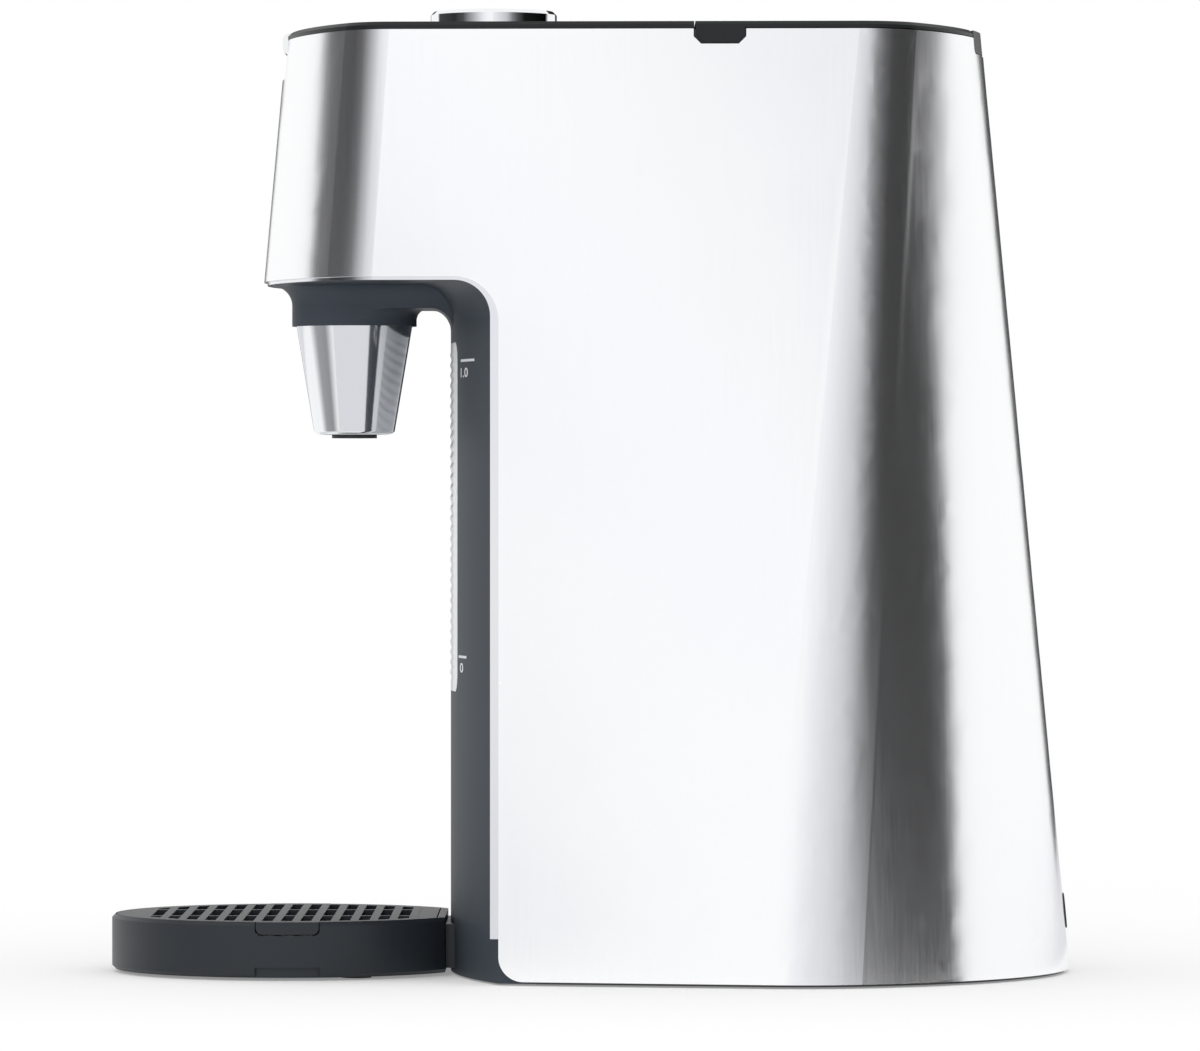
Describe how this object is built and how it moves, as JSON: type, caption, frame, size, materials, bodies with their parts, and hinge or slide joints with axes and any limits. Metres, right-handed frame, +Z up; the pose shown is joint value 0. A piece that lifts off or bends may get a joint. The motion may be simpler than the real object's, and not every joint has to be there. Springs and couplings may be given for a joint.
{
  "type": "countertop water dispenser",
  "caption": "Free-standing hot-water dispenser: tapered C-shaped steel body with cup bay, spout cone, water window, top dial, rear-hinged tank lid and pull-out drip tray.",
  "frame": {"origin": "on the counter, at the middle of the whole object's footprint box", "axes": "+Z up, the cup bay and drip tray face -Y, X across the width"},
  "size_m": [0.2054, 0.3187, 0.3193],
  "materials": {
    "aluminium": "as cast",
    "anthracite_plastic": "fine satin",
    "black_plastic": "matte",
    "board_green": "solder mask",
    "bright_steel": "polished edge",
    "chrome": "mirror",
    "rubber_black": "matte",
    "shell_steel": "fine satin",
    "silicone": "satin",
    "steel": "plain",
    "tank_plastic": "translucent",
    "white_plastic": "satin",
    "window_plastic": "translucent"
  },
  "bodies": {
    "housing": {"base_plate": "black_plastic", "bay_trim": "bright_steel", "board_screws": "steel", "case_screws": "steel", "control_board": "board_green", "control_panel": "anthracite_plastic", "cord_gland": "black_plastic", "flow_heater": "aluminium", "front_fascia": "anthracite_plastic", "heater_brackets": "steel", "heating_element": "steel", "hot_hose": "silicone", "inlet_hose": "silicone", "level_window": "window_plastic", "lid_hinge_pin": "steel", "outer_shell": "shell_steel", "outlet_chamber": "white_plastic", "power_board": "board_green", "pump_cradle": "rubber_black", "pump_hose": "silicone", "pump_housing": "white_plastic", "pump_motor": "steel", "rotary_encoder": "steel", "rubber_feet": "rubber_black", "spout_insert": "black_plastic", "spout_shroud": "chrome", "spout_tube": "black_plastic", "start_key_spring": "steel", "start_switch": "black_plastic", "steam_hose": "silicone", "tank_shelf": "black_plastic", "tank_strainer": "white_plastic", "tank_top": "tank_plastic", "thermal_cutouts": "black_plastic", "top_frame": "black_plastic", "tray_bracket": "black_plastic", "water_pipe": "steel", "water_tank": "tank_plastic", "window_gasket": "rubber_black"},
    "lid": {"lid_cover": "anthracite_plastic", "lid_liner": "black_plastic", "lid_seal": "rubber_black"},
    "dial": {"dial_cap": "chrome", "dial_hub": "black_plastic", "encoder_shaft": "steel"},
    "start_key": {"start_key": "chrome"},
    "pump_rotor": {"pump_impeller": "white_plastic", "pump_shaft": "steel"},
    "drip_tray": {"drip_tray": "anthracite_plastic", "tray_feet": "rubber_black"},
    "drip_grille": {"drip_grille": "anthracite_plastic"}
  },
  "joints": [
    {"name": "lid_hinge", "type": "hinge", "parent": "housing", "child": "lid", "pos_m": [0, 0.1258, 0.3078], "axis": [-1, 0, 0], "range_deg": [0, 80]},
    {"name": "dial_turn", "type": "hinge", "parent": "housing", "child": "dial", "pos_m": [0, -0.0323, 0.3113], "axis": [0, 0, 1], "range_deg": [-135, 135]},
    {"name": "start_press", "type": "slide", "parent": "housing", "child": "start_key", "axis": [0, 0, -1], "range_m": [0, 0.0025], "stiffness_N_per_m": 800, "deforming": ["start_key_spring"]},
    {"name": "pump_spin", "type": "hinge", "parent": "housing", "child": "pump_rotor", "pos_m": [-0.045, 0.04, 0.034], "axis": [0, 1, 0], "continuous": true},
    {"name": "tray_pull", "type": "slide", "parent": "housing", "child": "drip_tray", "axis": [0, -1, 0], "range_m": [0, 0.08]},
    {"name": "grille_lift", "type": "slide", "parent": "drip_tray", "child": "drip_grille", "axis": [0, 0, 1], "range_m": [0, 0.04]}
  ]
}
